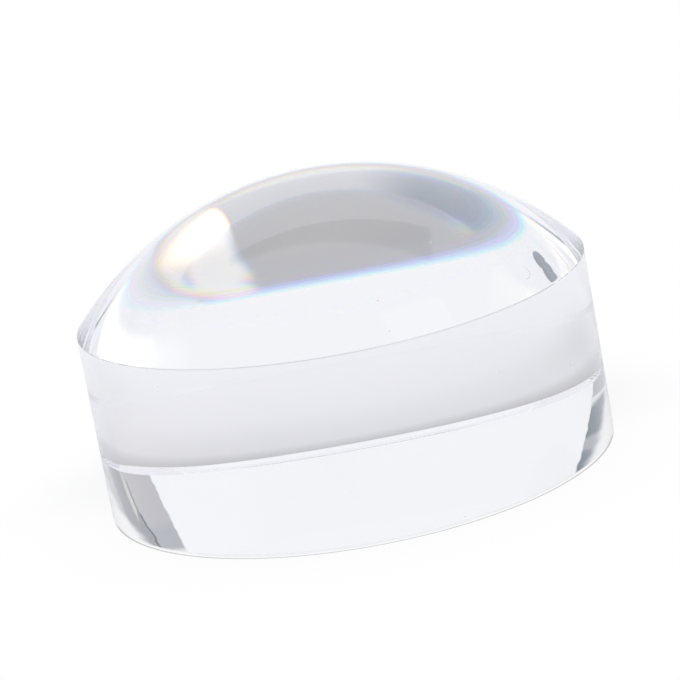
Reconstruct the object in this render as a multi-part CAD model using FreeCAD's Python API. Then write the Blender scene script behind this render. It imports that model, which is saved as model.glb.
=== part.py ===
import FreeCAD, Part
import math
import os

# Dome magnifier: one clear solid, a round base with an upright polished wall and a spherical dome
# on top. It stands flat on the page. The origin is the centre of the flat base, and +Z points up
# through the dome's crown. All sizes are in millimetres.

# Driving dimensions
base_diameter = 80.0  # across the upright wall
wall_height = 29.7  # from the flat base to the arris where the dome begins
dome_radius = 52.8  # of the sphere that the dome is part of
base_bevel = 0.6  # 45 degree bevel that keeps the base's edge from chipping
arris_bevel = 0.12  # the fine bevel that breaks the sharp arris between wall and dome

base_radius = base_diameter / 2
# Where the wall, carried up without a bevel, would meet the sphere
arris_z = wall_height
sphere_centre_z = arris_z - math.sqrt(dome_radius**2 - base_radius**2)
crown_z = sphere_centre_z + dome_radius


def on_sphere(radius):
    """The height of the dome at that distance from the axis."""
    return sphere_centre_z + math.sqrt(dome_radius**2 - radius**2)


def half_section():
    """The closed outline in the XZ plane that the lens is turned from."""
    rim = base_radius - arris_bevel
    half_way = base_radius / 2
    base_centre = FreeCAD.Vector(0, 0, 0)
    base_rim = FreeCAD.Vector(base_radius - base_bevel, 0, 0)
    wall_foot = FreeCAD.Vector(base_radius, 0, base_bevel)
    wall_top = FreeCAD.Vector(base_radius, 0, arris_z - arris_bevel)
    dome_foot = FreeCAD.Vector(rim, 0, on_sphere(rim))
    dome_middle = FreeCAD.Vector(half_way, 0, on_sphere(half_way))
    crown = FreeCAD.Vector(0, 0, crown_z)
    return Part.Wire(
        [
            Part.LineSegment(base_centre, base_rim).toShape(),
            Part.LineSegment(base_rim, wall_foot).toShape(),
            Part.LineSegment(wall_foot, wall_top).toShape(),
            Part.LineSegment(wall_top, dome_foot).toShape(),
            Part.Arc(dome_foot, dome_middle, crown).toShape(),
            Part.LineSegment(crown, base_centre).toShape(),
        ]
    )


def dome_lens():
    """The whole magnifier, turned about its optical axis."""
    section = Part.Face(half_section())
    lens = section.revolve(FreeCAD.Vector(0, 0, 0), FreeCAD.Vector(0, 0, 1), 360)
    return Part.Solid(lens) if lens.ShapeType == "Shell" else lens


os.makedirs("parts", exist_ok=True)
lens = dome_lens()
lens.exportStep("parts/dome_lens.step")
print("volume", round(lens.Volume, 1), "height", round(crown_z, 3), "valid", lens.isValid(), lens.ShapeType)
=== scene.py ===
import math

import bpy
import numpy as np
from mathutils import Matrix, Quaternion, Vector


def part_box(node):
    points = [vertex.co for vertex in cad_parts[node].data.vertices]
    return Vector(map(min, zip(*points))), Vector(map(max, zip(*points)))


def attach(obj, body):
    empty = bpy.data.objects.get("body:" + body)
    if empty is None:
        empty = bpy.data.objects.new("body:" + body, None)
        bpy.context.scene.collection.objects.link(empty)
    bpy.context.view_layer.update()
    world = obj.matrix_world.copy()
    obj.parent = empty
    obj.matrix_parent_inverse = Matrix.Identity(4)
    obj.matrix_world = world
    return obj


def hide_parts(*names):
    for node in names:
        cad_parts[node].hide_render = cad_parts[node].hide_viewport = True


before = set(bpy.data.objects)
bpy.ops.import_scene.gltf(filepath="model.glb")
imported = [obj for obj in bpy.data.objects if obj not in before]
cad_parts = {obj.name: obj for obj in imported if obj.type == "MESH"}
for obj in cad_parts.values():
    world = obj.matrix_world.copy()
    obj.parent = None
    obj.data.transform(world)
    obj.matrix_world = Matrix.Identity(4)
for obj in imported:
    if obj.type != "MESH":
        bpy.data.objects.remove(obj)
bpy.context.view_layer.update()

# The lens is one solid of clear cast acrylic: a round base with an upright wall, and a spherical
# dome on top. It was turned from a block and polished on every face, so nothing is fixed to it.
lens_low, lens_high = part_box("dome_lens")
lens_radius = (lens_high.x - lens_low.x) / 2
crown_height = lens_high.z
wall_height = 0.0297  # from the flat base to the arris
base_bevel = 0.0006  # 45 degree bevel round the base
arris_bevel = 0.00007  # breaks the edge between the wall and the dome
lens_steps = 512  # round the lens
base_points, wall_points, dome_points = 9, 13, 101  # of the profile, on each face


def lens_profile():
    """Radius and height of the profile's points, and the numbers of the rings that are edges. The
    profile runs from the base's centre out to the bevel, up the wall and over the dome, an arc of
    the sphere through the arris and the crown. The sphere's radius is the lens's radius squared
    plus the dome's rise squared, over twice the rise."""
    rise = crown_height - wall_height
    dome_radius = (lens_radius**2 + rise**2) / (2 * rise)
    sphere_centre = crown_height - dome_radius
    base = np.linspace(0, lens_radius - base_bevel, base_points)
    wall = np.linspace(base_bevel, wall_height - arris_bevel, wall_points)
    rim = math.asin((lens_radius - arris_bevel) / dome_radius)
    dome = np.linspace(rim, 0, dome_points)
    radius = np.concatenate([base, np.full(wall_points, lens_radius), dome_radius * np.sin(dome)])
    height = np.concatenate([np.zeros(base_points), wall, sphere_centre + dome_radius * np.cos(dome)])
    wall_foot = base_points - 1
    dome_foot = wall_foot + wall_points
    return np.stack([radius, height], axis=-1), [wall_foot - 1, wall_foot, dome_foot - 1, dome_foot]


def turned_piece(name, profile, edge_rings, steps):
    """A closed surface turned about Z. Point (i, j) is the profile's point i, at its radius and
    height, turned by j steps of a full circle. The profile's ends are poles, each closed by a fan."""
    angle = np.arange(steps) * 2 * np.pi / steps
    rings = profile[1:-1]
    x = rings[:, :1] * np.cos(angle)
    y = rings[:, :1] * np.sin(angle)
    z = np.repeat(rings[:, 1:], steps, axis=1)
    grid = np.stack([x, y, z], axis=-1).reshape(-1, 3)
    poles = [[0, 0, profile[0][1]], [0, 0, profile[-1][1]]]
    points = np.concatenate([grid, poles])
    row, here = np.meshgrid(np.arange(len(rings) - 1), np.arange(steps), indexing="ij")
    after = (here + 1) % steps
    low, high = row * steps, (row + 1) * steps
    quads = np.stack([low + here, low + after, high + after, high + here], axis=-1).reshape(-1, 4)
    step = np.arange(steps)
    top = (len(rings) - 1) * steps
    bottom_fan = np.stack([np.full(steps, len(grid)), (step + 1) % steps, step], axis=-1)
    top_fan = np.stack([np.full(steps, len(grid) + 1), top + step, top + (step + 1) % steps], axis=-1)
    faces = quads.tolist() + bottom_fan.tolist() + top_fan.tolist()
    mesh = bpy.data.meshes.new(name)
    mesh.from_pydata(points.tolist(), [], faces)
    mesh.polygons.foreach_set("use_smooth", np.ones(len(faces), bool))
    ends = np.empty(len(mesh.edges) * 2, int)
    mesh.edges.foreach_get("vertices", ends)
    ring_of = ends.reshape(-1, 2) // steps
    along = (ring_of[:, 0] == ring_of[:, 1]) & np.isin(ring_of[:, 0], edge_rings)
    sharp = mesh.attributes.new("sharp_edge", "BOOLEAN", "EDGE")
    sharp.data.foreach_set("value", along)
    mesh.update()
    piece = bpy.data.objects.new(name, mesh)
    bpy.context.scene.collection.objects.link(piece)
    return piece


profile, edge_rings = lens_profile()
lens = turned_piece("clear_dome_lens", profile, edge_rings, lens_steps)


def linear(hex_colour):
    """An sRGB hex colour as linear red, green, blue and an alpha of one."""
    srgb = np.array([int(hex_colour[i : i + 2], 16) for i in (1, 3, 5)]) / 255
    low, high = srgb / 12.92, ((srgb + 0.055) / 1.055) ** 2.4
    return (*np.where(srgb <= 0.04045, low, high).tolist(), 1.0)


def add_node(tree, kind, inputs, **settings):
    """One node with its own settings. Each input, by name or number, gets a value or a link, from
    an output of another node or from the node itself, which stands for its first output. A Mix node
    for colours takes them on inputs 6 and 7 and gives its result on output 2."""
    node = tree.nodes.new(kind)
    for name, value in settings.items():
        setattr(node, name, value)
    for key, value in inputs.items():
        if isinstance(value, bpy.types.Node):
            value = value.outputs[0]
        if isinstance(value, bpy.types.NodeSocket):
            tree.links.new(value, node.inputs[key])
        else:
            node.inputs[key].default_value = value
    return node


def new_material(name):
    """An empty node material and its node tree."""
    material = bpy.data.materials.new(name)
    material.use_nodes = True
    material.node_tree.nodes.clear()
    return material, material.node_tree


# Polished cast acrylic is as clear as water, with a faint cool tint in its depth and a mirror gloss.
# The buffing leaves very shallow swells. A ray that enters the middle of the dome splits into
# colours, each with its own IOR. One that enters by the wall or the dome's rim leaves by a like
# face, which undoes the split, so it stays whole, as every ray does on its way out.
acrylic_tint = "#FDFDFE"  # what is left of white light after one lens diameter of acrylic
acrylic_ior = 1.491
spectrum = [  # acrylic bends blue more than red: each ray's red, green and blue, and its IOR
    ((2.4, 0.0, 0.0), 1.484),
    ((1.8, 1.3, 0.0), 1.488),
    ((0.4, 2.2, 0.3), 1.492),
    ((0.0, 1.4, 1.9), 1.497),
    ((0.4, 0.1, 2.8), 1.503),
]
split_heights = (0.0344, 0.0360)  # where the split into colours begins and where it is full
buff_spacing = 0.012  # from swell to swell
buff_depth = 0.000003

acrylic, acrylic_tree = new_material("polished_cast_acrylic")
lens_place = add_node(acrylic_tree, "ShaderNodeTexCoord", {}).outputs["Object"]
swells = add_node(
    acrylic_tree, "ShaderNodeTexNoise", {"Vector": lens_place, "Scale": 1 / buff_spacing, "Detail": 1.0}
)
buffed = add_node(
    acrylic_tree, "ShaderNodeBump", {"Height": swells, "Strength": 1.0, "Distance": buff_depth}
)
rays = [
    add_node(
        acrylic_tree,
        "ShaderNodeBsdfGlass",
        {"Color": (*hue, 1.0), "Roughness": 0.0, "IOR": ior, "Normal": buffed},
    )
    for hue, ior in spectrum
]
split_light = rays[0]
for count, ray in enumerate(rays[1:], start=2):  # every ray ends with the same share
    split_light = add_node(acrylic_tree, "ShaderNodeMixShader", {0: 1 / count, 1: split_light, 2: ray})
whole_light = add_node(
    acrylic_tree,
    "ShaderNodeBsdfPrincipled",
    {
        "Base Color": (1, 1, 1, 1),
        "Roughness": 0.0,
        "IOR": acrylic_ior,
        "Transmission Weight": 1.0,
        "Normal": buffed,
    },
)
lens_height = add_node(acrylic_tree, "ShaderNodeSeparateXYZ", {0: lens_place}).outputs["Z"]
below_split = add_node(
    acrylic_tree,
    "ShaderNodeMapRange",
    {
        "Value": lens_height,
        "From Min": split_heights[0],
        "From Max": split_heights[1],
        "To Min": 1.0,
        "To Max": 0.0,
    },
)
going_out = add_node(acrylic_tree, "ShaderNodeNewGeometry", {}).outputs["Backfacing"]
unsplit = add_node(acrylic_tree, "ShaderNodeMath", {0: going_out, 1: below_split}, operation="MAXIMUM")
clear_acrylic = add_node(acrylic_tree, "ShaderNodeMixShader", {0: unsplit, 1: split_light, 2: whole_light})

# Dry handling leaves fine dust, some larger specks and a hooked bit of lint on the polish. A grain of
# dust is drawn about 0.2 mm across, coarser than the real one, which wouldn't show.
dust_spacing = 0.0032
dust_radius = 0.00011
dust_share = 0.35  # of the cells of the dust pattern that hold a speck
dust_colour = "#CFCFD2"
dust_cover = 0.6  # a speck lets some of the lens show through
marks = [  # place on the lens and radius of the larger specks
    ((0.03384, -0.02133, 0.01642), 0.00022),
    ((0.03896, -0.00907, 0.01387), 0.00030),
    ((0.01603, -0.02346, 0.03974), 0.00034),
    ((0.02098, -0.02065, 0.03907), 0.00030),
    ((0.00129, -0.01310, 0.04637), 0.00020),
]
lint_centre = (0.0287, -0.0237, 0.0331)  # the lint bends round this place on the front of the dome
lint_radius = 0.0016
lint_half_width = 0.00007
lint_start = lint_radius / 4  # it is only there to the right of this

cells = add_node(acrylic_tree, "ShaderNodeTexVoronoi", {"Vector": lens_place, "Scale": 1 / dust_spacing})
grain = add_node(
    acrylic_tree,
    "ShaderNodeMath",
    {0: cells.outputs["Distance"], 1: dust_radius / dust_spacing},
    operation="LESS_THAN",
)
cell_draw = add_node(acrylic_tree, "ShaderNodeSeparateColor", {0: cells.outputs["Color"]}).outputs["Red"]
cell_holds = add_node(acrylic_tree, "ShaderNodeMath", {0: cell_draw, 1: dust_share}, operation="LESS_THAN")
dirt = add_node(acrylic_tree, "ShaderNodeMath", {0: grain, 1: cell_holds}, operation="MULTIPLY")
for centre, reach in marks:
    from_mark = add_node(
        acrylic_tree, "ShaderNodeVectorMath", {0: lens_place, 1: centre}, operation="DISTANCE"
    ).outputs["Value"]
    mark = add_node(
        acrylic_tree,
        "ShaderNodeMapRange",
        {"Value": from_mark, "From Min": reach / 2, "From Max": reach, "To Min": 1.0, "To Max": 0.0},
    )
    dirt = add_node(acrylic_tree, "ShaderNodeMath", {0: dirt, 1: mark}, operation="MAXIMUM")
from_lint = add_node(
    acrylic_tree, "ShaderNodeVectorMath", {0: lens_place, 1: lint_centre}, operation="DISTANCE"
).outputs["Value"]
lint_ring = add_node(
    acrylic_tree, "ShaderNodeMath", {0: from_lint, 1: lint_radius, 2: lint_half_width}, operation="COMPARE"
)
lint_offset = add_node(
    acrylic_tree, "ShaderNodeVectorMath", {0: lens_place, 1: lint_centre}, operation="SUBTRACT"
)
lint_side = add_node(acrylic_tree, "ShaderNodeSeparateXYZ", {0: lint_offset}).outputs["X"]
lint_right = add_node(
    acrylic_tree, "ShaderNodeMath", {0: lint_side, 1: lint_start}, operation="GREATER_THAN"
)
lint = add_node(acrylic_tree, "ShaderNodeMath", {0: lint_ring, 1: lint_right}, operation="MULTIPLY")
dirt = add_node(acrylic_tree, "ShaderNodeMath", {0: dirt, 1: lint}, operation="MAXIMUM")
dirt_cover = add_node(acrylic_tree, "ShaderNodeMath", {0: dirt, 1: dust_cover}, operation="MULTIPLY")
dust = add_node(acrylic_tree, "ShaderNodeBsdfDiffuse", {"Color": linear(dust_colour)})
dusty_acrylic = add_node(acrylic_tree, "ShaderNodeMixShader", {0: dirt_cover, 1: clear_acrylic, 2: dust})

# In its depth the acrylic takes a little of each colour, as much per metre as leaves the tint after
# one diameter. Soft light on its way to the table goes straight through.
light_passed = 0.92  # as the lens's two faces turn back 4 percent each
light_taken = -np.log(linear(acrylic_tint)[:3]) / (2 * lens_radius)
depth_tint = add_node(
    acrylic_tree,
    "ShaderNodeVolumeAbsorption",
    {"Color": (*(1 - light_taken / light_taken.max()).tolist(), 1.0), "Density": float(light_taken.max())},
)
lens_path = add_node(acrylic_tree, "ShaderNodeLightPath", {}).outputs
table_ray = add_node(
    acrylic_tree,
    "ShaderNodeMath",
    {0: lens_path["Is Shadow Ray"], 1: lens_path["Is Diffuse Ray"]},
    operation="MAXIMUM",
)
straight_through = add_node(acrylic_tree, "ShaderNodeBsdfTransparent", {"Color": (*[light_passed] * 3, 1.0)})
lens_surface = add_node(
    acrylic_tree, "ShaderNodeMixShader", {0: table_ray, 1: dusty_acrylic, 2: straight_through}
)
add_node(acrylic_tree, "ShaderNodeOutputMaterial", {"Surface": lens_surface, "Volume": depth_tint})
lens.data.materials.append(acrylic)
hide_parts("dome_lens")
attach(lens, "root")

# The table is covered with matt white paper, and the lens lies flat on it, with a hair of air
# between the two as any two flat faces have.
air_gap = 0.0001
table_half = 4.0
table_mesh = bpy.data.meshes.new("floor")
corners = ((-1, -1), (1, -1), (1, 1), (-1, 1))
table_mesh.from_pydata([(x * table_half, y * table_half, -air_gap) for x, y in corners], [], [(0, 1, 2, 3)])
table = bpy.data.objects.new("floor", table_mesh)
bpy.context.scene.collection.objects.link(table)

# Matt white paper has no gloss and no grain that shows from here, only the light and shade on it. The lens's
# soft shadow is painted shade in the paper's colour, over the faint real one that the lens casts. The
# painted shadow falls to the back, away from the lamps, and is a little cooler than the light. On its way up
# through the lens it greys the band under the dome.
shadow_middle = (0.0, 0.12 * lens_radius, 0.0)
shadow_reach = 4.0 * lens_radius
shadow_steps = [  # how far out, as a share of the reach, and the share of light left there
    (0.225, 0.50),
    (0.262, 0.77),
    (0.375, 0.835),
    (0.625, 0.885),
    (1.0, 0.95),
]
shadow_hue = (0.995, 0.998, 1.045)
shadow_front = (-0.2 * lens_radius, 0.6 * lens_radius)  # the shadow fades in over this depth
shadow_rim = (0.985 * lens_radius, 1.01 * lens_radius)  # and from the lens's rim outwards

paper, paper_tree = new_material("matt_white_paper")
paper_place = add_node(paper_tree, "ShaderNodeTexCoord", {}).outputs["Object"]
paper_depth = add_node(paper_tree, "ShaderNodeSeparateXYZ", {0: paper_place}).outputs["Y"]
paper_radius = add_node(
    paper_tree, "ShaderNodeVectorMath", {0: paper_place}, operation="LENGTH"
).outputs["Value"]
from_shadow = add_node(
    paper_tree, "ShaderNodeVectorMath", {0: paper_place, 1: shadow_middle}, operation="DISTANCE"
).outputs["Value"]
shadow_place = add_node(paper_tree, "ShaderNodeMath", {0: from_shadow, 1: shadow_reach}, operation="DIVIDE")
# Painted shadow: a ramp of darker paper colours by distance from the shadow's middle.
shadow = add_node(paper_tree, "ShaderNodeValToRGB", {0: shadow_place})
ramp = shadow.color_ramp.elements
while len(ramp) < len(shadow_steps):
    ramp.new(1.0)
for ramp_step, (position, light_left) in zip(ramp, shadow_steps):
    ramp_step.position = position
    ramp_step.color = (*(light_left * part for part in shadow_hue), 1.0)
behind = add_node(
    paper_tree,
    "ShaderNodeMapRange",
    {"Value": paper_depth, "From Min": shadow_front[0], "From Max": shadow_front[1]},
    interpolation_type="SMOOTHSTEP",
)
outside = add_node(
    paper_tree,
    "ShaderNodeMapRange",
    {"Value": paper_radius, "From Min": shadow_rim[0], "From Max": shadow_rim[1]},
)
painted_shadow_amount = add_node(paper_tree, "ShaderNodeMath", {0: behind, 1: outside}, operation="MULTIPLY")
paper_light = add_node(
    paper_tree, "ShaderNodeMix", {0: painted_shadow_amount, 6: (1, 1, 1, 1), 7: shadow}, data_type="RGBA"
).outputs[2]


def oval_on_paper(middle, half_size, edge, values):
    """A value on the paper that goes smoothly from the first of two to the second. A place's distance
    from the oval's middle is taken in half sizes, and the edge says where the change starts and ends."""
    spot = add_node(
        paper_tree,
        "ShaderNodeMapping",
        {"Vector": paper_place, "Location": (*middle, 0), "Scale": (*half_size, 1)},
        vector_type="TEXTURE",
    )
    spread = add_node(paper_tree, "ShaderNodeVectorMath", {0: spot}, operation="LENGTH").outputs["Value"]
    return add_node(
        paper_tree,
        "ShaderNodeMapRange",
        {
            "Value": spread,
            "From Min": edge[0],
            "From Max": edge[1],
            "To Min": values[0],
            "To Max": values[1],
        },
        interpolation_type="SMOOTHSTEP",
    )


# The painted shadow has a softer painted shade on either side, and the table is painted a little darker near
# the camera, where it is less lit.
side_shades = [  # middle, half size, and share of light lost
    ((-0.0215, 0.0530), (0.0220, 0.0170), 0.10),
    ((0.0440, 0.0640), (0.0300, 0.0240), 0.06),
]
side_shade_edge = (0.2, 1.2)
near_table = (-5.0 * lens_radius, -3.0 * lens_radius)
near_shade_colour = "#EEEEF2"

for middle, half_size, light_lost in side_shades:
    side_light = oval_on_paper(middle, half_size, side_shade_edge, (1 - light_lost, 1.0))
    paper_light = add_node(
        paper_tree, "ShaderNodeVectorMath", {0: paper_light, "Scale": side_light}, operation="SCALE"
    )
away_from_camera = add_node(
    paper_tree,
    "ShaderNodeMapRange",
    {"Value": paper_depth, "From Min": near_table[0], "From Max": near_table[1]},
)
# Painted shade: the paper's colour turns darker towards the camera.
paper_colour = add_node(
    paper_tree,
    "ShaderNodeMix",
    {0: away_from_camera, 6: linear(near_shade_colour), 7: paper_light},
    data_type="RGBA",
).outputs[2]
paper_surface = add_node(paper_tree, "ShaderNodeBsdfDiffuse", {"Color": paper_colour})

# To the camera itself the table is as white as the background, all but round the lens, where some of the
# shadow stays, part real and part painted.
white_radii = (0.98 * lens_radius, 1.6 * lens_radius)
white_shares = (0.72, 1.0)

white_share = add_node(
    paper_tree,
    "ShaderNodeMapRange",
    {
        "Value": paper_radius,
        "From Min": white_radii[0],
        "From Max": white_radii[1],
        "To Min": white_shares[0],
        "To Max": white_shares[1],
    },
    interpolation_type="SMOOTHSTEP",
)
paper_path = add_node(paper_tree, "ShaderNodeLightPath", {}).outputs
seen_white = add_node(
    paper_tree, "ShaderNodeMath", {0: paper_path["Is Camera Ray"], 1: white_share}, operation="MULTIPLY"
)
white = add_node(paper_tree, "ShaderNodeEmission", {"Color": (1, 1, 1, 1), "Strength": 1.0})
paper_surface = add_node(paper_tree, "ShaderNodeMixShader", {0: seen_white, 1: paper_surface, 2: white})

# A thin dark line round the foot is painted shade, where no light gets under the bevel. Behind the lens two
# bright spots are painted light, glowing on the paper where the lens gathers the lamps' light.
contact_radius = 0.993 * lens_radius
contact_reach = (0.002 * lens_radius, 0.006 * lens_radius)  # its full dark and its soft end
contact_shade = 0.45
contact_shadow_colour = "#5A5A60"
gathered_light = [  # middle, half size, and strength
    ((-0.0078, 0.0403), (0.0030, 0.0011), 0.38),
    ((-0.0118, 0.0384), (0.0032, 0.0014), 0.24),
]
gathered_edge = (0.7, 1.1)
painted_light_colour = "#FFFDF8"

past_contact = add_node(
    paper_tree, "ShaderNodeMath", {0: paper_radius, 1: contact_radius}, operation="SUBTRACT"
)
off_contact = add_node(paper_tree, "ShaderNodeMath", {0: past_contact}, operation="ABSOLUTE")
contact = add_node(
    paper_tree,
    "ShaderNodeMapRange",
    {
        "Value": off_contact,
        "From Min": contact_reach[0],
        "From Max": contact_reach[1],
        "To Min": contact_shade,
        "To Max": 0.0,
    },
)
# Painted shadow: a dark matt colour mixed in along the foot.
painted_contact_shadow = add_node(paper_tree, "ShaderNodeBsdfDiffuse", {"Color": linear(contact_shadow_colour)})
paper_surface = add_node(paper_tree, "ShaderNodeMixShader", {0: contact, 1: paper_surface, 2: painted_contact_shadow})
for middle, half_size, strength in gathered_light:
    gathered = oval_on_paper(middle, half_size, gathered_edge, (strength, 0.0))
    # Painted light: each spot glows on the paper, though no lamp is there.
    painted_light_spot = add_node(
        paper_tree, "ShaderNodeEmission", {"Color": linear(painted_light_colour), "Strength": gathered}
    )
    paper_surface = add_node(paper_tree, "ShaderNodeAddShader", {0: paper_surface, 1: painted_light_spot})
add_node(paper_tree, "ShaderNodeOutputMaterial", {"Surface": paper_surface})
table_mesh.materials.append(paper)

# The studio gives soft white light from all round. Gloss and clear acrylic also show its white
# backdrop and, over it, cards and lamps. They are hung one over another, each too far away to shift
# when the camera moves.
backdrop_colour = "#F5F6F9"
studio = bpy.data.worlds.new("studio")
bpy.context.scene.world = studio
studio.use_nodes = True
studio_tree = studio.node_tree
studio_tree.nodes.clear()
direction = add_node(studio_tree, "ShaderNodeTexCoord", {}).outputs["Generated"]
shown = linear(backdrop_colour)


def box_cover(x, y, box, soft):
    """How much of a point (x, y) a box covers: 1 inside it and 0 outside, with a smooth edge. The box
    is its left, right, lower and upper side. Its edge is as wide as soft, one number for both ways or
    one for each."""
    soft_x, soft_y = np.broadcast_to(soft, 2).tolist()
    covers = []
    for point, low, high, edge in ((x, *box[:2], soft_x), (y, *box[2:], soft_y)):
        past_middle = add_node(
            studio_tree, "ShaderNodeMath", {0: point, 1: (low + high) / 2}, operation="SUBTRACT"
        )
        off_middle = add_node(studio_tree, "ShaderNodeMath", {0: past_middle}, operation="ABSOLUTE")
        cover = add_node(
            studio_tree,
            "ShaderNodeMapRange",
            {
                "Value": off_middle,
                "From Min": (high - low) / 2 - edge / 2,
                "From Max": (high - low) / 2 + edge / 2,
                "To Min": 1.0,
                "To Max": 0.0,
            },
            interpolation_type="SMOOTHSTEP",
        )
        covers.append(cover)
    return add_node(studio_tree, "ShaderNodeMath", {0: covers[0], 1: covers[1]}, operation="MULTIPLY")


def hang_card(behind_card, name, cover, colour, strength):
    """What is shown with one more card: the card's colour times its strength where it covers the
    direction, and what was there before elsewhere."""
    bright = [strength * part for part in linear(colour)[:3]]
    return add_node(
        studio_tree,
        "ShaderNodeMix",
        {0: cover, 6: behind_card, 7: (*bright, 1.0)},
        data_type="RGBA",
        label=name,
    ).outputs[2]


# Two grey wings stand behind the table, one on each side. The lens shows each of them at the other
# end of its lower band, which sees only a narrow strip of them, so their panels and seams are thin.
wings = [  # name, azimuth, elevation, tilt, box, soft edge, colour and strength
    ("glow beside the right wing", 58, 14.5, 0, (-0.14, 0.14, -0.12, 0.11), 0.02, "#FFFEFB", 1.2),
    ("right wing", 60, 16.8, 0, (-0.45, 0.6, -0.0133, 0.0134), 0.002, "#B8B8BE", 1.0),
    ("foot of the right wing", 60, 17.13, 0, (-0.45, 0.6, 0.0, 0.0075), 0.004, "#ACAFB7", 1.0),
    ("far half of the right wing", 52, 16.92, -4.7, (-0.3, 0.7, 0.0, 0.014), 0.002, "#93969D", 1.0),
    ("strip on the right wing", 56.5, 16.60, -6.2, (-0.055, 0.052, -0.0022, 0.0022), 0.002, "#CBCDC6", 1.0),
    ("seam in the right wing", 48.5, 17.12, -4.4, (-0.08, 0.07, -0.0004, 0.0010), 0.0008, "#56626E", 1.0),
    ("top of the seam", 54.8, 16.60, -7.0, (-0.052, 0.04, -0.0009, 0.0009), 0.001, "#7C8188", 1.0),
    ("light above the right wing", 66.5, 16.82, -2.0, (-0.6, 0.9, 0.0, 0.06), 0.004, "#FDFDFF", 1.0),
    ("right edge of the backdrop", 38.9, 16.95, -9.5, (-0.9, 0.7, -0.1, 0.0), 0.002, "#F6F7FA", 1.0),
    ("left wing", -60, 16.8, 0, (-0.6, 0.35, -0.02, 0.03), 0.002, "#A8ABB4", 1.0),
    ("dark panel of the left wing", -60, 16.69, 0.54, (-0.6, 0.35, -0.0036, 0.0040), 0.001, "#677582", 1.0),
    ("foot of the left wing", -60, 17.15, 0, (-0.6, 0.35, 0.0, 0.02), 0.002, "#74808C", 1.0),
    ("strip on the left wing", -60, 16.43, 0.54, (-0.6, 0.35, 0.0001, 0.0015), 0.0008, "#E4E6EC", 1.0),
    ("light above the left wing", -64.5, 16.81, 2.2, (-0.9, 0.5, 0.0, 0.06), 0.005, "#F8F8FA", 1.0),
    ("left edge of the backdrop", -50.5, 16.95, 3.8, (-0.6, 0.9, -0.1, 0.0), 0.001, "#F6F7FA", 1.0),
]


def round_card(azimuth, elevation, tilt, box, soft):
    """How much of a card on a round screen a direction meets. The screen stands round the lens, one
    distance away. A point on it is its azimuth in radians, clockwise from straight behind the lens,
    and its height, the direction's upward share over its level share, both from the card's own
    azimuth and elevation and turned by its tilt."""
    parts = add_node(studio_tree, "ShaderNodeSeparateXYZ", {0: direction}).outputs
    turn = add_node(studio_tree, "ShaderNodeMath", {0: parts["X"], 1: parts["Y"]}, operation="ARCTAN2")
    level = add_node(studio_tree, "ShaderNodeVectorMath", {0: direction, 1: (1, 1, 0)}, operation="MULTIPLY")
    level_share = add_node(
        studio_tree, "ShaderNodeVectorMath", {0: level}, operation="LENGTH"
    ).outputs["Value"]
    height = add_node(studio_tree, "ShaderNodeMath", {0: parts["Z"], 1: level_share}, operation="DIVIDE")
    on_screen = add_node(studio_tree, "ShaderNodeCombineXYZ", {"X": turn, "Y": height})
    on_card = add_node(
        studio_tree,
        "ShaderNodeMapping",
        {
            "Vector": on_screen,
            "Location": (math.radians(azimuth), math.tan(math.radians(elevation)), 0),
            "Rotation": (0, 0, math.radians(tilt)),
        },
        vector_type="TEXTURE",
    )
    point = add_node(studio_tree, "ShaderNodeSeparateXYZ", {0: on_card}).outputs
    return box_cover(point["X"], point["Y"], box, soft)


for name, azimuth, elevation, tilt, box, soft, colour, strength in wings:
    shown = hang_card(shown, name, round_card(azimuth, elevation, tilt, box, soft), colour, strength)

# Behind the camera is a grey room, darker on the left, with a bright window lamp on the right. The
# dome shows it as a window, with the lamp at its left end. Two glows and a bent grey post stand low.
camera_side = (180, 0)  # azimuth and elevation
room = [  # name, tilt, box, soft edge, colour and strength
    ("room behind the camera", 0, (-1.6, 1.6, 0.285, 1.4), 0.03, "#D0D0D4", 1.0),
    ("dark side of the room", -12.6, (0.142, 0.9, 0.418, 0.6), (0.26, 0.008), "#969EAA", 1.0),
    ("glow under the window lamp", 0, (-0.56, -0.30, 0.22, 0.36), 0.05, "#EAE8E8", 1.0),
    ("window lamp", 0, (-0.8, -0.287, 0.345, 0.9), (0.012, 0.04), "#FFFFFF", 1.5),
    ("low glow on the right", 0, (-0.95, -0.55, -0.05, 0.2), 0.06, "#FFFFFF", 1.3),
    ("low glow on the left", -33, (0.38, 0.75, 0.25, 0.522), 0.03, "#FFFDF8", 1.12),
    ("foot of the low post", -52.2, (0.266, 0.323, 0.7130, 0.80), 0.0008, "#868F98", 1.0),
    ("low post on the left", -61.2, (0.205, 0.252, 0.7557, 0.80), 0.0008, "#868F98", 1.0),
    ("head of the low post", -70.2, (0.1275, 0.160, 0.7858, 0.85), 0.0008, "#868F98", 1.0),
]
grazing = 0.02  # a direction with less than this share along a card's axis passes beside its plane


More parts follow.
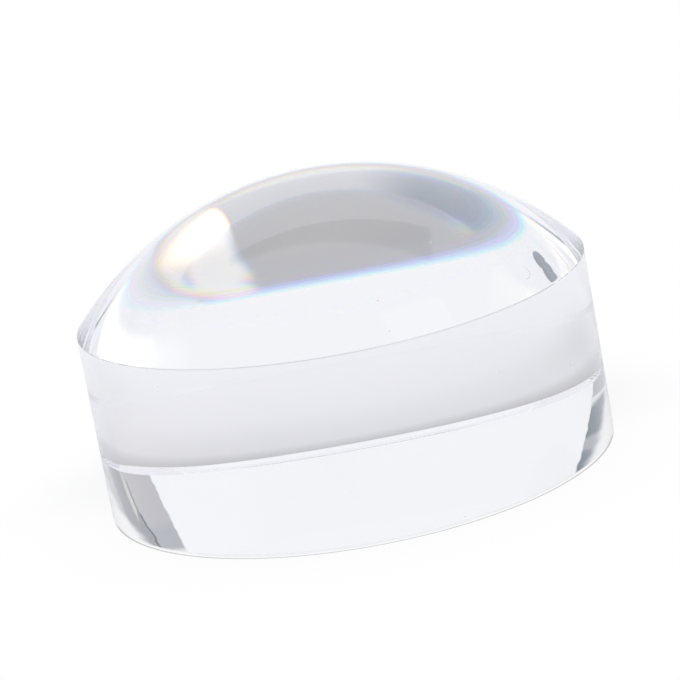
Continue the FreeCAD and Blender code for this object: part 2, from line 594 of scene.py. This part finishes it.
def flat_card(azimuth, elevation, tilt, box, soft):
    """How much of a far-off flat card a direction meets. The card faces the lens from its azimuth,
    clockwise from straight behind the lens, and its elevation, in degrees. A direction divided by
    its share along the card's axis is a point on the card's plane, in card distances."""
    turn, rise, lean = (math.radians(part) for part in (azimuth, elevation, tilt))
    axis = Vector((math.sin(turn) * math.cos(rise), math.cos(turn) * math.cos(rise), math.sin(rise)))
    level = Vector((math.cos(turn), -math.sin(turn), 0))
    upright = level.cross(axis)
    across = level * math.cos(lean) + upright * math.sin(lean)
    along = upright * math.cos(lean) - level * math.sin(lean)
    ahead = add_node(
        studio_tree, "ShaderNodeVectorMath", {0: direction, 1: axis}, operation="DOT_PRODUCT"
    ).outputs["Value"]
    point = []
    for side in (across, along):
        side_share = add_node(
            studio_tree, "ShaderNodeVectorMath", {0: direction, 1: side}, operation="DOT_PRODUCT"
        ).outputs["Value"]
        point.append(
            add_node(studio_tree, "ShaderNodeMath", {0: side_share, 1: ahead}, operation="DIVIDE")
        )
    facing = add_node(studio_tree, "ShaderNodeMath", {0: ahead, 1: grazing}, operation="GREATER_THAN")
    cover = box_cover(*point, box, soft)
    return add_node(studio_tree, "ShaderNodeMath", {0: facing, 1: cover}, operation="MULTIPLY")


for name, tilt, box, soft, colour, strength in room:
    shown = hang_card(shown, name, flat_card(*camera_side, tilt, box, soft), colour, strength)

# Two softboxes hang overhead. They stop short of the backdrop's top, which leaves a dark gap.
straight_up = (0, 90)  # azimuth and elevation
overhead = [  # name, tilt, box, soft edge, colour and strength
    ("gap above the backdrop", 0, (-0.42, 0.50, -0.71, -0.20), 0.02, "#404248", 1.0),
    ("overhead softbox", 16.5, (-0.70, 0.60, -0.44, 0.5), 0.08, "#F4F6FA", 1.0),
    ("right softbox", -30, (0.10, 0.50, 0.27, 0.7), 0.05, "#FFFFFF", 1.4),
]
for name, tilt, box, soft, colour, strength in overhead:
    shown = hang_card(shown, name, flat_card(*straight_up, tilt, box, soft), colour, strength)

studio_path = add_node(studio_tree, "ShaderNodeLightPath", {}).outputs
by_gloss_or_acrylic = add_node(
    studio_tree,
    "ShaderNodeMath",
    {0: studio_path["Is Glossy Ray"], 1: studio_path["Is Transmission Ray"]},
    operation="MAXIMUM",
)
studio_light = add_node(
    studio_tree, "ShaderNodeMix", {0: by_gloss_or_acrylic, 6: (1, 1, 1, 1), 7: shown}, data_type="RGBA"
).outputs[2]
sky = add_node(studio_tree, "ShaderNodeBackground", {"Color": studio_light, "Strength": 1.0})
add_node(studio_tree, "ShaderNodeOutputWorld", {"Surface": sky})

# The camera stands 0.62 m away with a long lens, looks down at 17 degrees and is rolled by 10
# degrees. Light bounces to and fro many times inside the acrylic before it leaves.
camera_distance = 0.62
camera_elevation = math.radians(16.85)
camera_roll = math.radians(10.43)
camera_aim = Vector((0.00013, -0.0002, 0.02126))
most_bounces = 48
camera_data = bpy.data.cameras.new("camera")
camera_data.sensor_width = 36  # in millimetres, as the lens's length is
camera_data.lens = 208.3
camera_data.clip_start = 0.01
camera = bpy.data.objects.new("camera", camera_data)
camera_back = camera_distance * math.cos(camera_elevation)
camera.location = (0, -camera_back, camera_distance * math.sin(camera_elevation))
camera_turn = (camera_aim - camera.location).to_track_quat("-Z", "Y")
camera.rotation_mode = "QUATERNION"
camera.rotation_quaternion = camera_turn @ Quaternion((0, 0, 1), -camera_roll)
bpy.context.scene.collection.objects.link(camera)
bpy.context.scene.camera = camera

scene = bpy.context.scene
scene.view_settings.view_transform = "Standard"
scene.cycles.max_bounces = most_bounces
scene.cycles.glossy_bounces = most_bounces
scene.cycles.transmission_bounces = most_bounces
scene.cycles.caustics_reflective = False
scene.cycles.caustics_refractive = False
